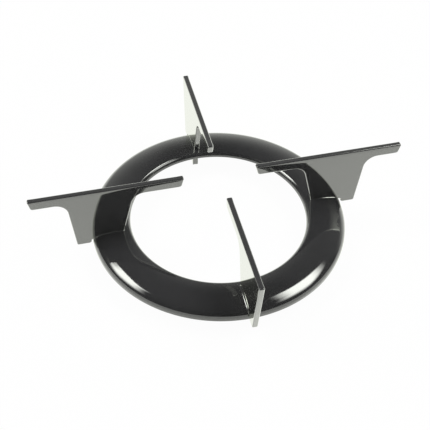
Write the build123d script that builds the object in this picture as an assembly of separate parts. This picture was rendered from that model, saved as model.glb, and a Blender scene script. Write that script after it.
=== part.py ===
from build123d import *
from math import radians, sqrt, tan
import os

# Hob pan support: a pressed steel ring round the burner, with four plate arms that carry the pan.
# Millimetres, +Z up. The hob surface is z = 0, the ring's axis is Z, the long arms lie along X.

# Pressed ring, a domed channel that is open below
RING_OUTER_R = 90.0
RING_INNER_R = 62.3
RING_SHEET = 1.5
RIM_HEIGHT = 10.4          # the outer rim above the hob surface
OUTER_SKIRT = 1.8          # straight wall between the outer rim and its shoulder
OUTER_SHOULDER_R = 6.0     # rounding between outer skirt and crown
CROWN_R = 52.0             # curve of the crown from shoulder to shoulder
CREST_INSET = 10.3         # the crown's highest circle, from the inner wall
INNER_SHOULDER_R = 4.0     # rounding between crown and inner skirt
INNER_SKIRT = 1.0          # straight wall between the inner shoulder and its rim
RIM_ROUND = 0.6            # edge of the sheet at both rims

# Arm plates
PLATE = 4.0
EDGE_ROUND = 0.6           # edge all along a plate
ARM_TOP = 60.0             # the level that carries the pan, above the hob surface
BAR_DEPTH = 7.4
ARM_INNER_R = 25.5
LONG_ARM_R = 130.5
SHORT_ARM_R = 106.0
TIP_SLANT = 15.0           # degrees, a tip leans back towards the bar's underside
TIP_TOP_R = 0.9
TIP_BOTTOM_R = 2.0
CROTCH_R = 9.5             # between the bar's underside and the leg
BAR_FLAT = 0.5             # least straight stretch of the bar's underside beside that rounding

# Leg
LEG_SHOULDER = 3.8         # the leg's inner edge meets the crown's level this far inside the peg
LEG_INNER_LEAN = 14.0      # degrees
LEG_OUTER_LEAN = 6.6       # degrees, on a long arm

# Prong outside the ring's outer skirt
PRONG_RISE = 1.6           # its end above the outer rim
PRONG_GAP = 1.0
LONG_PRONG_WIDTH = 10.0
SHORT_PRONG_WIDTH = 7.5
PRONG_OUTER_CORNER_R = 1.2
PRONG_INNER_CORNER_R = 1.6
NOTCH_HEIGHT = 3.6         # top of the gap beside the skirt, above the prong's end
NOTCH_R = 1.8

# Peg through the crown, and the weld that holds it from below
PEG_WIDTH = 9.0            # along the radius
PEG_END_ROUND = 0.8
SEAT_GAP = 0.1             # enamel line between a plate and the crown
SLOT_CLEARANCE = 0.15      # all round the peg
WELD_LEG = 3.0

# The crown's circle in section, tangent to both shoulders
CREST_R = RING_INNER_R + CREST_INSET
OUTER_ACROSS = RING_OUTER_R - OUTER_SHOULDER_R - CREST_R
INNER_ACROSS = RING_INNER_R + INNER_SHOULDER_R - CREST_R
OUTER_SHOULDER_Z = RIM_HEIGHT + OUTER_SKIRT
CROWN_CENTRE_Z = OUTER_SHOULDER_Z - sqrt((CROWN_R - OUTER_SHOULDER_R) ** 2 - OUTER_ACROSS**2)
INNER_SHOULDER_Z = CROWN_CENTRE_Z + sqrt((CROWN_R - INNER_SHOULDER_R) ** 2 - INNER_ACROSS**2)
INNER_RIM = INNER_SHOULDER_Z - INNER_SKIRT
CROWN_TOP = CROWN_CENTRE_Z + CROWN_R

# Other places that follow from the sizes
PEG_R = (RING_OUTER_R + RING_INNER_R) / 2
BAR_UNDERSIDE = ARM_TOP - BAR_DEPTH
TIP_SETBACK = BAR_DEPTH * tan(radians(TIP_SLANT))
PRONG_R = RING_OUTER_R + PRONG_GAP
PRONG_END = RIM_HEIGHT + PRONG_RISE
NOTCH_TOP = PRONG_END + NOTCH_HEIGHT

# Each arm and its turn about the ring's axis, in degrees
ARM_TURNS = {
    "long_arm_right": 0,
    "short_arm_back": 90,
    "long_arm_left": 180,
    "short_arm_front": 270,
}


def crown_end(across, shoulder_z, radius):
    """Point in section where the crown runs into the arc of a shoulder."""
    reach = CROWN_R / (CROWN_R - radius)
    return CREST_R + across * reach, CROWN_CENTRE_Z + (shoulder_z - CROWN_CENTRE_Z) * reach


def ring_outline():
    """Face under the ring's outside, in section, with both skirts carried down to the hob surface."""
    outer_skirt = (RING_OUTER_R, OUTER_SHOULDER_Z)
    inner_skirt = (RING_INNER_R, INNER_SHOULDER_Z)
    outer_crown = crown_end(OUTER_ACROSS, OUTER_SHOULDER_Z, OUTER_SHOULDER_R)
    inner_crown = crown_end(INNER_ACROSS, INNER_SHOULDER_Z, INNER_SHOULDER_R)
    skirts = Polyline(outer_skirt, (RING_OUTER_R, 0), (RING_INNER_R, 0), inner_skirt)
    inner_round = TangentArc(inner_skirt, inner_crown, tangent=(0, 1))
    crown = RadiusArc(inner_crown, outer_crown, CROWN_R)
    outer_round = TangentArc(outer_skirt, outer_crown, tangent=(0, 1))
    return make_face([skirts, inner_round, crown, outer_round])


def above_rims():
    """Area over the ring's section, which ends the two skirts at their rims."""
    return make_face(
        Polyline(
            (0, INNER_RIM),
            (PEG_R, INNER_RIM),
            (PEG_R, RIM_HEIGHT),
            (PRONG_R, RIM_HEIGHT),
            (PRONG_R, ARM_TOP),
            (0, ARM_TOP),
            close=True,
        )
    )


def around(section):
    """Solid of revolution about the ring's axis."""
    return revolve(Plane.XZ * section, Axis.Z)


def slot():
    """Cutter for the slot that a peg passes through."""
    return Pos(PEG_R, 0, RIM_HEIGHT) * Box(
        PEG_WIDTH + 2 * SLOT_CLEARANCE,
        PLATE + 2 * SLOT_CLEARANCE,
        CROWN_TOP,
        align=(Align.CENTER, Align.CENTER, Align.MIN),
    )


def burner_ring():
    """Channel of even sheet, with a slot for each arm."""
    outline = ring_outline()
    section = (outline - offset(outline, -RING_SHEET)) & above_rims()
    inner_rim = section.vertices().filter_by_position(Axis.X, 0, PEG_R).sort_by(Axis.Y)[:2]
    outer_rim = section.vertices().filter_by_position(Axis.X, PEG_R, PRONG_R).sort_by(Axis.Y)[:2]
    ring = around(fillet(inner_rim + outer_rim, RIM_ROUND))
    for turn in ARM_TURNS.values():
        ring -= Rot(0, 0, turn) * slot()
    return ring


def crotch_radius(reach, leg_lean):
    """Rounding where a leg meets the bar, limited by the bar's reach from there to the corner of its tip."""
    tip_corner = TIP_BOTTOM_R * tan(radians(90 - TIP_SLANT) / 2)
    room = reach - TIP_SETBACK - tip_corner - BAR_FLAT
    return min(CROTCH_R, room / tan(radians(90 - leg_lean) / 2))


def blank(outer_edge, outer_radii, prong_width):
    """Outline of an arm, in section through the ring; outer_edge runs from the top down to the prong."""
    leg_foot_r = PEG_R - PEG_WIDTH / 2 - LEG_SHOULDER
    lean = tan(radians(LEG_INNER_LEAN))
    crotch_r = leg_foot_r - (BAR_UNDERSIDE - CROWN_TOP) * lean
    inner_edge = [
        (leg_foot_r + (CROWN_TOP - NOTCH_TOP) * lean, NOTCH_TOP),
        (crotch_r, BAR_UNDERSIDE),
        (ARM_INNER_R + TIP_SETBACK, BAR_UNDERSIDE),
        (ARM_INNER_R, ARM_TOP),
    ]
    inner_radii = [NOTCH_R, crotch_radius(crotch_r - ARM_INNER_R, LEG_INNER_LEAN), TIP_BOTTOM_R, TIP_TOP_R]
    prong = [(PRONG_R + prong_width, PRONG_END), (PRONG_R, PRONG_END), (PRONG_R, NOTCH_TOP)]
    prong_radii = [PRONG_OUTER_CORNER_R, PRONG_INNER_CORNER_R, NOTCH_R]
    points = inner_edge + outer_edge + prong
    radii = inner_radii + outer_radii + prong_radii
    return make_face(FilletPolyline(*points, radius=radii, close=True))


def long_blank():
    """The bar reaches outwards past the leg."""
    lean = tan(radians(LEG_OUTER_LEAN))
    crotch_r = PRONG_R + LONG_PRONG_WIDTH + (BAR_UNDERSIDE - PRONG_END) * lean
    outer_edge = [
        (LONG_ARM_R, ARM_TOP),
        (LONG_ARM_R - TIP_SETBACK, BAR_UNDERSIDE),
        (crotch_r, BAR_UNDERSIDE),
    ]
    outer_radii = [TIP_TOP_R, TIP_BOTTOM_R, crotch_radius(LONG_ARM_R - crotch_r, LEG_OUTER_LEAN)]
    return blank(outer_edge, outer_radii, LONG_PRONG_WIDTH)


def short_blank():
    """The outer edge is one straight slope from the top down to the prong."""
    return blank([(SHORT_ARM_R, ARM_TOP)], [TIP_TOP_R], SHORT_PRONG_WIDTH)


def peg():
    """Tab from inside the leg down to the hob surface."""
    tab = Pos(PEG_R, 0, 0) * Box(
        PEG_WIDTH, PLATE, CROWN_TOP + EDGE_ROUND, align=(Align.CENTER, Align.CENTER, Align.MIN)
    )
    tab = fillet(tab.edges().filter_by(Axis.Z), EDGE_ROUND)
    return fillet(tab.faces().sort_by(Axis.Z)[0].edges(), PEG_END_ROUND)


def weld():
    """Fillet weld along both flat sides of a peg, up against the underside of the crown."""
    half = PLATE / 2
    bottom = CROWN_TOP - RING_SHEET - WELD_LEG
    bead = make_face(
        Polyline(
            (-half - WELD_LEG, CROWN_TOP),
            (half + WELD_LEG, CROWN_TOP),
            (half, bottom),
            (-half, bottom),
            close=True,
        )
    )
    bead = Pos(PEG_R, 0, 0) * extrude(Plane.YZ * bead, PEG_WIDTH / 2 - PEG_END_ROUND, both=True)
    return bead & around(offset(ring_outline(), -RING_SHEET))


def arm(outline):
    """Blank with rounded edges, cut to sit on the ring, with its peg and weld."""
    plate = extrude(Plane.XZ * outline, PLATE / 2, both=True)
    plate = fillet(plate.faces().filter_by(Axis.Y).edges(), EDGE_ROUND)
    plate -= around(offset(ring_outline(), SEAT_GAP))
    return plate + peg() + weld()


long_arm = arm(long_blank())
short_arm = arm(short_blank())
nodes = {"burner_ring": burner_ring()}
for name, turn in ARM_TURNS.items():
    nodes[name] = Rot(0, 0, turn) * (long_arm if name.startswith("long") else short_arm)

os.makedirs("parts", exist_ok=True)
for name, solid in nodes.items():
    export_step(solid, f"parts/{name}.step")
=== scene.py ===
import math
import bmesh
import bpy
from mathutils import Matrix, Vector


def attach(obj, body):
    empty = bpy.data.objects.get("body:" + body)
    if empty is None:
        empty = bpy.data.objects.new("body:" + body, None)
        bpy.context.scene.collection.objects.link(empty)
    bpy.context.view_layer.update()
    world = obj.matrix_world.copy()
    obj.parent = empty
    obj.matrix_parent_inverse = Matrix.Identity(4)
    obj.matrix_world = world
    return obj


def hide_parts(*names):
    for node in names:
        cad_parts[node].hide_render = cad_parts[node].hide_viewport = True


# Hob pan support in black vitreous enamel, on a white studio sweep.
# Each CAD node is shown by a finer closed mesh of the same form, with exact normals, because its enamel
# mirrors the lamps and would show every facet.
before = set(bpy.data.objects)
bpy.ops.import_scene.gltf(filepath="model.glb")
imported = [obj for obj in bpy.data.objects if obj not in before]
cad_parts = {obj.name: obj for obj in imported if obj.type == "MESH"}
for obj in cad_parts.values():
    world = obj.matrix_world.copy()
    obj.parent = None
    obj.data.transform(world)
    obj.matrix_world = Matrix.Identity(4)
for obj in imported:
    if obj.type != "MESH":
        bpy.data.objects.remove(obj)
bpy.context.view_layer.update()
MM = 0.001
QUARTER = math.pi / 2

# Ring, in millimetres, as in the CAD
RING_OUTER_R = 90.0
RING_INNER_R = 62.3
RING_SHEET = 1.5
OUTER_RIM = 10.4           # the outer rim above the hob surface
OUTER_SKIRT = 1.8          # straight wall between that rim and its shoulder
OUTER_SHOULDER_R = 6.0
CROWN_R = 52.0             # curve of the crown from shoulder to shoulder
CREST_INSET = 10.3         # the crown's highest circle, from the inner wall
INNER_SHOULDER_R = 4.0
RIM_ROUND = 0.6

# Crown and shoulders in section: their centres as radius and height, and the directions where they meet
CREST_R = RING_INNER_R + CREST_INSET
OUTER_ARC_R = RING_OUTER_R - OUTER_SHOULDER_R
INNER_ARC_R = RING_INNER_R + INNER_SHOULDER_R
OUTER_ARC_Z = OUTER_RIM + OUTER_SKIRT
CROWN_Z = OUTER_ARC_Z - math.sqrt((CROWN_R - OUTER_SHOULDER_R) ** 2 - (OUTER_ARC_R - CREST_R) ** 2)
INNER_ARC_Z = CROWN_Z + math.sqrt((CROWN_R - INNER_SHOULDER_R) ** 2 - (INNER_ARC_R - CREST_R) ** 2)
OUTER_ARC = (OUTER_ARC_R, OUTER_ARC_Z)
CROWN_ARC = (CREST_R, CROWN_Z)
INNER_ARC = (INNER_ARC_R, INNER_ARC_Z)
OUTER_TANGENT = math.atan2(OUTER_ARC_Z - CROWN_Z, OUTER_ARC_R - CREST_R)
INNER_TANGENT = math.atan2(INNER_ARC_Z - CROWN_Z, INNER_ARC_R - CREST_R)
CROWN_TOP = CROWN_Z + CROWN_R

# Arms, in millimetres and degrees, as in the CAD
PLATE = 4.0
ARM_TOP = 60.0             # the level that carries the pan
BAR_DEPTH = 7.4
ARM_INNER_R = 25.5
LONG_ARM_R = 130.5
SHORT_ARM_R = 106.0
TIP_SLANT = 15.0           # a tip leans back towards the bar's underside
TIP_TOP_R = 0.9
TIP_BOTTOM_R = 2.0
CROTCH_R = 9.5             # between the bar's underside and the leg
LEG_SHOULDER = 3.8         # the leg's inner edge meets the crown's level this far inside the peg
LEG_INNER_LEAN = 14.0
LEG_OUTER_LEAN = 6.6       # on a long arm
PRONG_GAP = 1.0            # between the ring's outer wall and the prong
PRONG_RISE = 1.6           # the prong's end above the outer rim
LONG_PRONG_WIDTH = 10.0
SHORT_PRONG_WIDTH = 7.5
PRONG_OUTER_CORNER_R = 1.2
PRONG_INNER_CORNER_R = 1.6
NOTCH_HEIGHT = 3.6         # top of the gap beside the ring, above the prong's end
NOTCH_R = 1.8
PEG_WIDTH = 9.0            # along the radius
BEAD = 3.0                 # leg of the weld bead beside a peg, under the crown

# Places on the arms that follow from the sizes
BAR_UNDERSIDE = ARM_TOP - BAR_DEPTH
TIP_SETBACK = BAR_DEPTH * math.tan(math.radians(TIP_SLANT))
PEG_R = (RING_OUTER_R + RING_INNER_R) / 2
LEG_FOOT_R = PEG_R - PEG_WIDTH / 2 - LEG_SHOULDER
PRONG_R = RING_OUTER_R + PRONG_GAP
PRONG_END = OUTER_RIM + PRONG_RISE
NOTCH_TOP = PRONG_END + NOTCH_HEIGHT

# Each arm: its turn about the ring's axis in degrees, and the radius of the enamel along its foot
ARMS = {
    "long_arm_right": (0, 0.55),
    "short_arm_back": (90, 0.2),
    "long_arm_left": (180, 0.8),
    "short_arm_front": (270, 1.0),
}

# Skin of the ring, in millimetres and degrees
BEND_R = 2.0               # tight bend where the crown goes over into the inner shoulder
BEND_END = 125.0           # direction that the surface faces, in section, where that bend ends
OPENING_RIM = 14.8         # lower edge of the enamelled wall round the opening

# Skin of the plates, in millimetres
EDGE_ROUND = 0.85          # a plate's edge under its enamel
TOP_ROLL = 2.8             # width along a plate's top edge that blanking drew down a little
EDGE_ROLL = 1.0            # the same along its other edges
ROLL_SLOPE = 0.12          # steepest fall of a face within that width
CORNER_SHARE = 0.92        # part of a corner's radius that an edge may take up
WIDENING = 0.5             # growth of an edge's width for each millimetre away from a narrow place
FACES_UP = 0.99            # upward part of the normal along a top edge
TIP_BUILD = 0.5            # enamel gathers this much at the ends of a bar
TIP_DEPTH = 1.6            # rounding across the plate at the ends of a bar
BURIED = 0.7               # a leg's foot reaches this far into the sheet, where the enamel hides it
FOOT_MARGIN = 0.6          # from the leg's inner corner to where its foot starts to follow the crown

# Enamel along a leg's foot, the peg and its weld, in millimetres
HIDDEN = 0.3               # a bead of enamel or weld reaches this far into what it joins
POOL_FACE_LAP = 0.05       # the enamel starts this far inside the plate's faces
POOL_EDGE_LAP = 0.1        # and this far inside the leg's inner edge
POOL_STOP = 0.8            # it stops this far from the ring's outer wall
POOL_START = 0.25          # share of its radius at both ends
POOL_GROWTH = 0.15         # growth of that share from one point to the next
PEG_CORNER_R = 0.3
PEG_END_R = 0.9
PEG_TOP_INSET = 1.0        # its upper end is this far below the crown's top, hidden in the sheet
BEAD_INSET = 0.6           # the weld bead stops this far from the peg's corners
BEAD_LAP = 0.2             # it starts this far inside peg and crown
BEAD_FLANK = 0.78          # its reach along peg and crown, as a share of its reach between them
BEAD_TAPER = 6             # points over which its ends grow
BEAD_BLUNT = 0.5           # points added there, so that the ends are blunt
RIPPLE = 0.05              # swell of its ripples, as a share of its size
RIPPLE_PITCH = 1.6

# Fineness of the meshes: parts of each round, and the longest stretches
RING_PARTS = 480           # of the whole turn
OUTER_PARTS = 16
CROWN_PARTS = 20
BEND_PARTS = 12
INNER_PARTS = 14
RIM_PARTS = 6
EDGE_PARTS = 6
ROLL_PARTS = 5
FOOT_CORNER_PARTS = 6
BEAD_ROUND_PARTS = 8
PEG_END_PARTS = 8
BEAD_PARTS = 48            # along the weld bead
CORNER_STEP = 0.12         # radians on a corner of an outline
STRETCH = 1.5              # millimetres on a straight part of an outline

# Enamel, with its patterns in millimetres
PEEL_SPACING = 3.0         # orange peel of the firing
PEEL_DETAIL = 2.0
PEEL_DEPTH = 0.1
PEEL_STRENGTH = 0.05
SAG_SPACING = 28.0         # slow waves of a coat that ran a little
SAG_DETAIL = 1.0
SAG_DEPTH = 0.2
SAG_STRENGTH = 0.25
CLOUD_SPACING = 9.0        # clouds of slightly paler and duller glass
CLOUD_DETAIL = 3.0
GLASS_IOR = 1.5
GLASS_ROUGHNESS = (0.035, 0.075)
MIRROR_ROUGHNESS = 0.045
MIRROR_TINT = "#fcfff5"
MIRROR_MOST = 0.82         # greatest share of the mirror that the layers below the face add

# Camera, in degrees and millimetres: it looks down across the ring, from a little left of the front
CAMERA_AZIMUTH = -15.05
CAMERA_ELEVATION = 46.25
CAMERA_ROLL = 1.66
CAMERA_DISTANCE = 707.3
AIM_HEIGHT = 32.0
AIM_RIGHT = -2.78
AIM_UP = -10.33
LENS = 84.8
SENSOR_WIDTH = 36.0
CLIP = (0.01, 50.0)        # metres

# Strip softboxes, with directions in parts right, away from the camera and up
LAMPS = {  # its place as seen from the ring, the way to its fading end, the slant of its other end
    "left_softbox": ((-0.710, 0.018, 0.704), (-0.543, -0.651, -0.530), 0.16),
    "right_softbox": ((0.631, 0.004, 0.776), (0.488, -0.780, -0.391), 0.0),
}
LAMP_DISTANCE = 3.0        # metres
LAMP_SIZE = (3.5, 1.95)    # metres
LAMP_RADIANCE = 8.2
LAMP_MIDDLE = 0.5          # its middle line, as a share of its width
LAMP_SIDE = 0.5            # from that line to the dark sides
LAMP_CORE = 0.148          # from that line to the end of the fully lit strip
LAMP_TAPER = (0.58, 1.1)   # lit width at the slanted end and at the fading end
LAMP_END = 0.03            # soft part of its length at the slanted end
LAMP_FADE = 0.42           # part of its length after which it fades
SLANT_PIVOT = 0.45         # part of its width where the slanted end starts from the lamp's own end

# White floor, and the room as the enamel mirrors it
FLOOR_RADIUS = 8.0         # metres
FLOOR_SIDES = 96
FLOOR_GLOW = 0.97          # share of plain white where the floor is seen; the rest keeps the shadow
FLOOR_PAINT = "#f2f2f1"
WHITE = (1.0, 1.0, 1.0, 1.0)
ROOM_LEVEL = 0.062         # strength of the dim room
SWEEP_LEVEL = 1.0          # and of the white sweep behind the object
SWEEP_TOP = 0.85           # upward part of the direction where the white sweep ends
SWEEP_FOOT = 0.2           # and below which it is full
SWEEP_FALL = 2.0           # power of the fall between them
SWEEP_SIDES = (0.25, 0.75)  # backward part of the direction where it starts and where it is full


def steps(start, stop, count):
    """count + 1 even values from start to stop."""
    return [start + (stop - start) * i / count for i in range(count + 1)]


def arc(centre, radius, start, stop, count, side=1):
    """Points on an arc, each with its normal; side is -1 where the material is outside the arc."""
    ways = [(math.cos(a), math.sin(a)) for a in steps(start, stop, count)]
    return [(centre[0] + radius * x, centre[1] + radius * y, side * x, side * y) for x, y in ways]


def grid(columns, rows, closed=True):
    """Quads round closed columns of points, stored column by column; closed joins the last to the first."""
    return [
        (
            c * rows + r,
            (c + 1) % columns * rows + r,
            (c + 1) % columns * rows + (r + 1) % rows,
            c * rows + (r + 1) % rows,
        )
        for c in range(columns if closed else columns - 1)
        for r in range(rows)
    ]


def tube(columns, rows):
    """Quads round closed columns of points, and a face over each end."""
    last = (columns - 1) * rows
    return grid(columns, rows, closed=False) + [tuple(range(rows)), tuple(range(last, last + rows))]


def ring_outside(depth=0.0):
    """Line at a depth below the ring's outside, in section, from the outer skirt over to the inner one."""
    return (
        arc(OUTER_ARC, OUTER_SHOULDER_R - depth, 0, OUTER_TANGENT, OUTER_PARTS)
        + arc(CROWN_ARC, CROWN_R - depth, OUTER_TANGENT, INNER_TANGENT, CROWN_PARTS)[1:]
        + arc(INNER_ARC, INNER_SHOULDER_R - depth, INNER_TANGENT, math.pi, INNER_PARTS)[1:]
    )


def ring_section():
    """Closed outline of the enamelled sheet as points with normals: outside, inner rim, inside, outer rim."""
    bend_end = math.radians(BEND_END)
    apart = INNER_SHOULDER_R - BEND_R
    bend_r = INNER_ARC_R + apart * math.cos(bend_end)
    bend_start = math.acos((bend_r - CREST_R) / (CROWN_R - BEND_R))
    bend_z = CROWN_Z + (CROWN_R - BEND_R) * math.sin(bend_start)
    shoulder = (INNER_ARC_R, bend_z - apart * math.sin(bend_end))
    outside = (
        arc(OUTER_ARC, OUTER_SHOULDER_R, 0, OUTER_TANGENT, OUTER_PARTS)
        + arc(CROWN_ARC, CROWN_R, OUTER_TANGENT, bend_start, CROWN_PARTS)[1:]
        + arc((bend_r, bend_z), BEND_R, bend_start, bend_end, BEND_PARTS)[1:]
        + arc(shoulder, INNER_SHOULDER_R, bend_end, math.pi, INNER_PARTS)[1:]
    )
    inside = [(r, z, -nr, -nz) for r, z, nr, nz in reversed(ring_outside(RING_SHEET))]
    rims = []
    for wall, rim in ((RING_INNER_R, OPENING_RIM), (RING_OUTER_R - RING_SHEET, OUTER_RIM)):
        near = (wall + RIM_ROUND, rim + RIM_ROUND)
        far = (wall + RING_SHEET - RIM_ROUND, rim + RIM_ROUND)
        rims.append(
            arc(near, RIM_ROUND, 2 * QUARTER, 3 * QUARTER, RIM_PARTS)
            + arc(far, RIM_ROUND, 3 * QUARTER, 4 * QUARTER, RIM_PARTS)
        )
    return outside + rims[0] + inside + rims[1]


def ring_shell():
    """The section turned about the ring's axis."""
    section = ring_section()
    points, normals = [], []
    for turn in steps(0, 4 * QUARTER, RING_PARTS)[:-1]:
        c, s = math.cos(turn), math.sin(turn)
        points += [(r * c, r * s, z) for r, z, nr, nz in section]
        normals += [(nr * c, nr * s, nz) for r, z, nr, nz in section]
    return points, normals, grid(RING_PARTS, len(section))


def ring_height(r):
    """Height and normal of the ring's outside at a distance from its axis, on the crown or outside of it."""
    on_crown = r <= OUTER_ARC_R + OUTER_SHOULDER_R * math.cos(OUTER_TANGENT)
    centre, radius = (CROWN_ARC, CROWN_R) if on_crown else (OUTER_ARC, OUTER_SHOULDER_R)
    nr = (r - centre[0]) / radius
    nz = math.sqrt(max(0.0, 1 - nr * nr))
    return centre[1] + radius * nz, nr, nz


def rounded(corners):
    """Line through corners (x, z, radius) with its outside on the right, as points with normals and the width
    that an edge may have there; the two end corners only give its direction."""
    line = []
    for before, here, after in zip(corners, corners[1:], corners[2:]):
        middle, radius = Vector(here[:2]), here[2]
        comes = (middle - Vector(before[:2])).normalized()
        goes = (Vector(after[:2]) - middle).normalized()
        bend = math.atan2(comes.x * goes.y - comes.y * goes.x, comes.dot(goes))
        side = 1 if bend > 0 else -1
        outwards = Vector((comes.y, -comes.x)) * side
        centre = middle - comes * radius * math.tan(abs(bend) / 2) - outwards * radius
        angle = math.atan2(outwards.y, outwards.x)
        width = CORNER_SHARE * radius if side > 0 else EDGE_ROLL
        parts = max(2, round(abs(bend) / CORNER_STEP))
        line += [(*point, width) for point in arc(centre, radius, angle, angle + bend, parts, side)]
    return line


def divided(line):
    """The closed line with more points on its straight parts, where an edge may be as wide as its roll."""
    fine = []
    for here, after in zip(line, line[1:] + line[:1]):
        fine.append(here)
        roll = TOP_ROLL if here[3] > FACES_UP else EDGE_ROLL
        parts = math.ceil(math.dist(here[:2], after[:2]) / STRETCH)
        for i in range(1, parts):
            x, z = (a + (b - a) * i / parts for a, b in zip(here[:2], after[:2]))
            fine.append((x, z, here[2], here[3], roll))
    return fine


def edge_widths(line):
    """Width of the edge at each point of a closed line, growing slowly away from its narrow places."""
    widths = [point[4] for point in line]
    around = list(range(len(line)))
    for i in 2 * (around + around[::-1]):
        for j in (i - 1, (i + 1) % len(line)):
            widths[i] = min(widths[i], widths[j] + WIDENING * math.dist(line[i][:2], line[j][:2]))
    return widths


def arm_outline(outer_corners, prong_width):
    """Outline of an arm in the plane through the ring's axis; its foot follows the crown, a little inside it.
    Each point has its normal, the width of its edge, and how many times deeper than usual that is rounded."""
    foot = [p for p in ring_outside(BURIED) if p[1] > NOTCH_TOP and p[0] > LEG_FOOT_R + FOOT_MARGIN]
    crotch_r = LEG_FOOT_R - (BAR_UNDERSIDE - CROWN_TOP) * math.tan(math.radians(LEG_INNER_LEAN))
    tip_r = ARM_INNER_R - TIP_BUILD
    corners = [
        (foot[0][0], NOTCH_TOP),
        (PRONG_R, NOTCH_TOP, NOTCH_R),
        (PRONG_R, PRONG_END, PRONG_INNER_CORNER_R),
        (PRONG_R + prong_width, PRONG_END, PRONG_OUTER_CORNER_R),
        *outer_corners,
        (tip_r, ARM_TOP, TIP_TOP_R),
        (tip_r + TIP_SETBACK, BAR_UNDERSIDE, TIP_BOTTOM_R),
        (crotch_r, BAR_UNDERSIDE, CROTCH_R),
        (LEG_FOOT_R, CROWN_TOP - BURIED, EDGE_ROUND),
        foot[-1],
    ]
    line = rounded(corners) + [(r, z, -nr, -nz, EDGE_ROUND) for r, z, nr, nz in reversed(foot)]
    line = divided(line)
    outline = []
    for (x, z, nx, nz, _), width in zip(line, edge_widths(line)):
        tip = abs(nx) * max(0, z - BAR_UNDERSIDE) / BAR_DEPTH
        outline.append((x, z, nx, nz, width, 1 + (TIP_DEPTH / EDGE_ROUND - 1) * tip))
    return outline


def long_arm_outline():
    """The bar reaches outwards past the leg."""
    lean = math.tan(math.radians(LEG_OUTER_LEAN))
    crotch_r = PRONG_R + LONG_PRONG_WIDTH + (BAR_UNDERSIDE - PRONG_END) * lean
    tip_r = LONG_ARM_R + TIP_BUILD
    outer_corners = [
        (crotch_r, BAR_UNDERSIDE, CROTCH_R),
        (tip_r - TIP_SETBACK, BAR_UNDERSIDE, TIP_BOTTOM_R),
        (tip_r, ARM_TOP, TIP_TOP_R),
    ]
    return arm_outline(outer_corners, LONG_PRONG_WIDTH)


def short_arm_outline():
    """The outer edge is one straight slope from the prong up to the top."""
    return arm_outline([(SHORT_ARM_R + TIP_BUILD, ARM_TOP, TIP_TOP_R)], SHORT_PRONG_WIDTH)


def plate_shell(outline):
    """Plate with a rounded edge all along its outline, and faces that fall a little towards that edge."""
    steepest = math.atan(ROLL_SLOPE)
    edge_end = QUARTER - steepest
    loops = [(lean, 0.0) for lean in steps(0, edge_end, EDGE_PARTS)]
    for share in steps(0, 1, ROLL_PARTS)[1:]:
        loops.append((QUARTER - math.atan(ROLL_SLOPE * (1 - share)), share))
    points, normals = [], []
    for side in (-1, 1):
        for lean, share in loops[::side]:
            bend = min(lean, edge_end)
            for x, z, nx, nz, width, depth in outline:
                radius = min(EDGE_ROUND, width)
                roll = width - radius * (1 - math.sin(steepest))
                inset = radius * (1 - math.cos(bend)) + roll * share
                drop = radius * (math.cos(steepest) - math.sin(bend))
                drop += ROLL_SLOPE * roll / 2 * (1 - share) ** 2
                points.append((x - nx * inset, side * (PLATE / 2 - depth * drop), z - nz * inset))
                normals.append((nx * math.cos(lean), side * math.sin(lean) / depth, nz * math.cos(lean)))
    return points, normals, tube(2 * len(loops), len(outline))


def pool_shell(radius):
    """Concave bead of enamel along both sides of a leg's foot and round its inner edge."""
    half = PLATE / 2 - POOL_FACE_LAP
    corner_r = LEG_FOOT_R + POOL_EDGE_LAP + EDGE_ROUND
    side = [p[0] for p in ring_outside() if corner_r < p[0] < RING_OUTER_R - POOL_STOP]
    way = [((r, half), (0, 1)) for r in side]
    for middle, start in ((half - EDGE_ROUND, QUARTER), (EDGE_ROUND - half, 2 * QUARTER)):
        turn = arc((corner_r, middle), EDGE_ROUND, start, start + QUARTER, FOOT_CORNER_PARTS)
        way += [((x, y), (nx, ny)) for x, y, nx, ny in turn]
    way += [((r, -half), (0, -1)) for r in reversed(side)]
    points, normals = [], []
    for i, ((x, y), (nx, ny)) in enumerate(way):
        from_end = min(i, len(way) - 1 - i)
        size = radius * min(1, POOL_START + POOL_GROWTH * from_end)
        section = [
            (size - size * math.cos(a), size - size * math.sin(a), math.cos(a), math.sin(a))
            for a in steps(0, QUARTER, BEAD_ROUND_PARTS)
        ]
        section += [(size, -HIDDEN, 1, -1), (-HIDDEN, -HIDDEN, -1, -1), (-HIDDEN, size, -1, 1)]
        for across, up, n_across, n_up in section:
            px, py = x + nx * across, y + ny * across
            r = math.hypot(px, py)
            z, nr, nz = ring_height(r)
            points.append((px + nr * up * px / r, py + nr * up * py / r, z + nz * up))
            normals.append(Vector((nx, ny, 0)) * n_across + Vector((nr * px / r, nr * py / r, nz)) * n_up)
    return points, normals, tube(len(way), len(section))


def peg_shell():
    """Tab below a leg, with rounded corners and a rounded end on the hob surface."""
    signs = ((1, -1), (1, 1), (-1, 1), (-1, -1))
    corners = [(PEG_R + s * PEG_WIDTH / 2, t * PLATE / 2, PEG_CORNER_R) for s, t in signs]
    plan = [point[:4] for point in rounded([corners[-1], *corners, corners[0]])]
    levels = [(PEG_END_R * (1 - math.cos(a)), a) for a in steps(0, QUARTER, PEG_END_PARTS)]
    levels.append((CROWN_TOP - PEG_TOP_INSET, QUARTER))
    points, normals = [], []
    for z, a in levels:
        inset = PEG_END_R * (1 - math.sin(a))
        points += [(x - nx * inset, y - ny * inset, z) for x, y, nx, ny in plan]
        normals += [(nx * math.sin(a), ny * math.sin(a), -math.cos(a)) for x, y, nx, ny in plan]
    return points, normals, tube(len(levels), len(plan))


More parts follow.
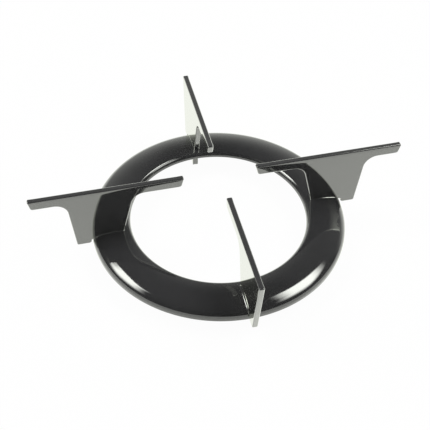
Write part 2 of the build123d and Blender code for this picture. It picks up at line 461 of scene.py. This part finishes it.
def bead_shell(side):
    """Rippled weld bead between a peg's flat side and the underside of the crown."""
    reach = PEG_WIDTH / 2 - BEAD_INSET
    way = steps(PEG_R - reach, PEG_R + reach, BEAD_PARTS)
    bend = steps(0, QUARTER, BEAD_ROUND_PARTS)
    points, normals = [], []
    for i, x in enumerate(way):
        from_end = min(i, len(way) - 1 - i) + BEAD_BLUNT
        ripple = 1 + RIPPLE * math.sin(4 * QUARTER * x / RIPPLE_PITCH)
        size = BEAD * math.sqrt(min(1.0, from_end / BEAD_TAPER)) * ripple
        under = CROWN_Z + math.sqrt((CROWN_R - RING_SHEET) ** 2 - (x - CREST_R) ** 2) + BEAD_LAP
        swell = [size * (BEAD_FLANK + (1 - BEAD_FLANK) * math.sin(2 * a)) for a in bend]
        section = [(s * math.sin(a), s * math.cos(a), math.sin(a), math.cos(a)) for s, a in zip(swell, bend)]
        section += [(swell[-1], -HIDDEN, 1, -1), (-HIDDEN, -HIDDEN, -1, -1), (-HIDDEN, swell[0], -1, 1)]
        for across, down, n_across, n_down in section:
            points.append((x, side * (PLATE / 2 - BEAD_LAP + across), under - down))
            normals.append((0, side * n_across, -n_down))
    return points, normals, tube(len(way), len(section))


def show(node, name, shells, turn, material):
    """Shows a CAD node as one mesh of these shells, turned about the ring's axis."""
    points, normals, faces = [], [], []
    c, s = math.cos(math.radians(turn)), math.sin(math.radians(turn))
    for shell_points, shell_normals, shell_faces in shells:
        first = len(points)
        points += [Vector((x * c - y * s, x * s + y * c, z)) * MM for x, y, z in shell_points]
        normals += [Vector((x * c - y * s, x * s + y * c, z)) for x, y, z in shell_normals]
        faces += [tuple(first + i for i in face) for face in shell_faces]
    mesh = bpy.data.meshes.new(name)
    mesh.from_pydata(points, [], faces)
    outwards = bmesh.new()
    outwards.from_mesh(mesh)
    bmesh.ops.recalc_face_normals(outwards, faces=outwards.faces[:])
    outwards.to_mesh(mesh)
    outwards.free()
    mesh.shade_smooth()
    mesh.normals_split_custom_set_from_vertices([normal.normalized() for normal in normals])
    mesh.materials.append(material)
    piece = bpy.data.objects.new(name, mesh)
    bpy.context.scene.collection.objects.link(piece)
    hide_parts(node)
    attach(piece, "root")


def linear(code):
    """Linear RGBA of an sRGB hex colour."""
    channels = [int(code[i : i + 2], 16) / 255 for i in (1, 3, 5)]
    return tuple(c / 12.92 if c <= 0.04045 else ((c + 0.055) / 1.055) ** 2.4 for c in channels) + (1.0,)


def add(tree, kind, inputs=None, **settings):
    """Adds a node. settings are its own properties, inputs are socket values or the sockets to link from."""
    node = tree.nodes.new("ShaderNode" + kind)
    for key, value in settings.items():
        setattr(node, key, value)
    for key, value in (inputs or {}).items():
        if isinstance(value, bpy.types.NodeSocket):
            tree.links.new(value, node.inputs[key])
        else:
            node.inputs[key].default_value = value
    return node


def new_material(name):
    """Material with no nodes yet, and its node tree."""
    material = bpy.data.materials.new(name)
    material.use_nodes = True
    material.node_tree.nodes.clear()
    return material, material.node_tree


def vitreous_enamel(name, dark, light, full):
    """Glass frit fired on steel: near black, mirror-like, with the faint orange peel of the firing. The fired
    skin is several glassy layers, so it mirrors more than one face of glass does: the layers below the face
    add their own mirror, which is greatest where the face alone mirrors the share that full gives."""
    material, tree = new_material(name)
    place = add(tree, "TexCoord").outputs["Object"]
    patterns = ((PEEL_SPACING, PEEL_DETAIL), (SAG_SPACING, SAG_DETAIL), (CLOUD_SPACING, CLOUD_DETAIL))
    peel, sag, cloud = (
        add(tree, "TexNoise", {"Vector": place, "Scale": 1 / (spacing * MM), "Detail": detail}).outputs["Fac"]
        for spacing, detail in patterns
    )
    waves = add(
        tree,
        "Bump",
        {"Height": sag, "Strength": SAG_STRENGTH, "Distance": SAG_DEPTH * MM},
    ).outputs["Normal"]
    relief = add(
        tree,
        "Bump",
        {"Height": peel, "Normal": waves, "Strength": PEEL_STRENGTH, "Distance": PEEL_DEPTH * MM},
    ).outputs["Normal"]
    colour = add(
        tree,
        "MixRGB",
        {"Fac": cloud, "Color1": linear(dark), "Color2": linear(light)},
    ).outputs["Color"]
    gloss = add(
        tree,
        "MapRange",
        {"Value": cloud, "To Min": GLASS_ROUGHNESS[0], "To Max": GLASS_ROUGHNESS[1]},
    ).outputs["Result"]
    glass = add(
        tree,
        "BsdfPrincipled",
        {"Base Color": colour, "Roughness": gloss, "IOR": GLASS_IOR, "Normal": relief},
    ).outputs["BSDF"]
    mirror = add(
        tree,
        "BsdfGlossy",
        {"Color": linear(MIRROR_TINT), "Roughness": MIRROR_ROUGHNESS, "Normal": relief},
    ).outputs["BSDF"]
    face = add(tree, "Fresnel", {"IOR": GLASS_IOR, "Normal": relief}).outputs["Fac"]
    share = add(tree, "MapRange", {"Value": face, "From Max": full, "To Max": MIRROR_MOST}).outputs["Result"]
    skin = add(tree, "MixShader", {0: share, 1: glass, 2: mirror})
    add(tree, "OutputMaterial", {"Surface": skin.outputs["Shader"]})
    return material


def seen(tree):
    """1 where a surface is seen by the camera, in a reflection or through glass."""
    path = add(tree, "LightPath").outputs
    value = path["Is Camera Ray"]
    for ray in ("Is Glossy Ray", "Is Transmission Ray"):
        value = add(tree, "Math", {0: value, 1: path[ray]}, operation="MAXIMUM").outputs["Value"]
    return value


def white_painted_floor():
    """Matt white paint on a smooth sweep: it reads as white and keeps a little of the object's shadow."""
    material, tree = new_material("white_painted_floor")
    paint = add(tree, "BsdfDiffuse", {"Color": linear(FLOOR_PAINT)}).outputs["BSDF"]
    glow = add(tree, "Emission", {"Color": WHITE, "Strength": 1.0}).outputs["Emission"]
    share = add(tree, "Math", {0: seen(tree), 1: FLOOR_GLOW}, operation="MULTIPLY").outputs["Value"]
    both = add(tree, "MixShader", {0: share, 1: paint, 2: glow})
    add(tree, "OutputMaterial", {"Surface": both.outputs["Shader"]})
    return material


def studio_axes():
    """Right, away and up as the camera's place gives them on the ground."""
    turn = math.radians(CAMERA_AZIMUTH)
    right = Vector((math.cos(turn), math.sin(turn), 0))
    away = Vector((-math.sin(turn), math.cos(turn), 0))
    return right, away, Vector((0, 0, 1))


def set_world():
    """Dim room, with the white sweep curving up behind the object."""
    world = bpy.data.worlds.new("dim_studio")
    bpy.context.scene.world = world
    world.use_nodes = True
    tree = world.node_tree
    tree.nodes.clear()
    away = studio_axes()[1]
    direction = add(tree, "TexCoord").outputs["Generated"]
    height = add(tree, "SeparateXYZ", {"Vector": direction}).outputs["Z"]
    behind = add(tree, "VectorMath", {0: direction, 1: away}, operation="DOT_PRODUCT").outputs["Value"]
    facing = add(
        tree,
        "MapRange",
        {"Value": behind, "From Min": SWEEP_SIDES[0], "From Max": SWEEP_SIDES[1]},
        interpolation_type="SMOOTHSTEP",
    ).outputs["Result"]
    rise = add(tree, "MapRange", {"Value": height, "From Min": SWEEP_TOP, "From Max": SWEEP_FOOT})
    rise = add(tree, "Math", {0: rise.outputs["Result"], 1: SWEEP_FALL}, operation="POWER")
    sweep = add(tree, "Math", {0: rise.outputs["Value"], 1: facing}, operation="MULTIPLY")
    level = add(tree, "Mix", {"Factor": sweep.outputs["Value"], "A": ROOM_LEVEL, "B": SWEEP_LEVEL})
    light = add(tree, "Background", {"Color": WHITE, "Strength": level.outputs["Result"]})
    add(tree, "OutputWorld", {"Surface": light.outputs["Background"]})


def softbox_level(tree, slant):
    """Light over a softbox's face: soft long sides, one end that fades out slowly and one cut at a slant."""
    spot = add(tree, "SeparateXYZ", {"Vector": add(tree, "NewGeometry").outputs["Parametric"]}).outputs
    along, across = spot["X"], spot["Y"]
    aside = add(tree, "Math", {0: across, 1: LAMP_MIDDLE}, operation="SUBTRACT").outputs["Value"]
    aside = add(tree, "Math", {0: aside}, operation="ABSOLUTE").outputs["Value"]
    lit_width = add(
        tree,
        "MapRange",
        {"Value": along, "To Min": LAMP_TAPER[0], "To Max": LAMP_TAPER[1]},
    ).outputs["Result"]
    aside = add(tree, "Math", {0: aside, 1: lit_width}, operation="DIVIDE").outputs["Value"]
    cut = add(tree, "Math", {0: across, 1: -slant, 2: along}, operation="MULTIPLY_ADD").outputs["Value"]
    cut_start = -SLANT_PIVOT * slant
    level = 1.0
    for value, dark, full in (
        (aside, LAMP_SIDE, LAMP_CORE),
        (cut, cut_start, cut_start + LAMP_END),
        (along, 1.0, LAMP_FADE),
    ):
        part = add(
            tree,
            "MapRange",
            {"Value": value, "From Min": dark, "From Max": full},
            interpolation_type="SMOOTHSTEP",
        ).outputs["Result"]
        level = add(tree, "Math", {0: level, 1: part}, operation="MULTIPLY").outputs["Value"]
    return level


def softbox(name, place, fades, slant):
    """Strip softbox that faces the ring."""
    data = bpy.data.lights.new(name, "AREA")
    data.shape = "RECTANGLE"
    data.size, data.size_y = LAMP_SIZE
    data.energy = LAMP_RADIANCE * math.pi * data.size * data.size_y
    data.use_nodes = True
    tree = data.node_tree
    tree.nodes.clear()
    glow = add(tree, "Emission", {"Color": WHITE, "Strength": softbox_level(tree, slant)})
    add(tree, "OutputLight", {"Surface": glow.outputs["Emission"]})
    lamp = bpy.data.objects.new(name, data)
    bpy.context.scene.collection.objects.link(lamp)
    back, long_side = (
        sum((axis * part for axis, part in zip(studio_axes(), parts)), Vector()).normalized()
        for parts in (place, fades)
    )
    short_side = back.cross(long_side).normalized()
    turned = Matrix((short_side.cross(back), short_side, back)).transposed().to_4x4()
    lamp.matrix_world = Matrix.Translation(back * LAMP_DISTANCE) @ turned


def add_floor():
    """Round floor on the level of the hob surface."""
    bpy.ops.mesh.primitive_circle_add(vertices=FLOOR_SIDES, radius=FLOOR_RADIUS, fill_type="NGON")
    floor = bpy.context.object
    floor.name = "floor"
    floor.data.materials.append(white_painted_floor())


def add_camera():
    """Camera on its circle round the ring, tilted a little and aimed beside the ring's middle."""
    data = bpy.data.cameras.new("camera")
    data.lens = LENS
    data.sensor_width = SENSOR_WIDTH
    data.clip_start, data.clip_end = CLIP
    camera = bpy.data.objects.new("camera", data)
    bpy.context.scene.collection.objects.link(camera)
    rise = math.radians(CAMERA_ELEVATION)
    right, away, up = studio_axes()
    back = up * math.sin(rise) - away * math.cos(rise)
    right = Matrix.Rotation(math.radians(CAMERA_ROLL), 3, back) @ right
    up = back.cross(right)
    aim = Vector((0, 0, AIM_HEIGHT)) + right * AIM_RIGHT + up * AIM_UP
    turned = Matrix((right, up, back)).transposed().to_4x4()
    camera.matrix_world = Matrix.Translation((aim + back * CAMERA_DISTANCE) * MM) @ turned
    bpy.context.scene.camera = camera


# Ring and plates carry one enamel. The plates' copy is painted a little paler, as painted light that lifts
# their upright faces, which the lamps light less. It also comes sooner to its full mirror
ring_enamel = vitreous_enamel("black_vitreous_enamel_on_pressed_sheet", "#303031", "#383839", full=0.44)
arm_enamel = vitreous_enamel("black_vitreous_enamel_on_plate_painted_paler", "#383839", "#404041", full=0.226)
show("burner_ring", "enamelled_ring", [ring_shell()], 0, ring_enamel)
for node, (turn, pool_r) in ARMS.items():
    outline = long_arm_outline() if node.startswith("long") else short_arm_outline()
    shells = [plate_shell(outline), pool_shell(pool_r), peg_shell(), bead_shell(1), bead_shell(-1)]
    show(node, "enamelled_" + node, shells, turn, arm_enamel)

add_floor()
set_world()
for name, (place, fades, slant) in LAMPS.items():
    softbox(name, place, fades, slant)
add_camera()
bpy.context.scene.view_settings.view_transform = "Standard"
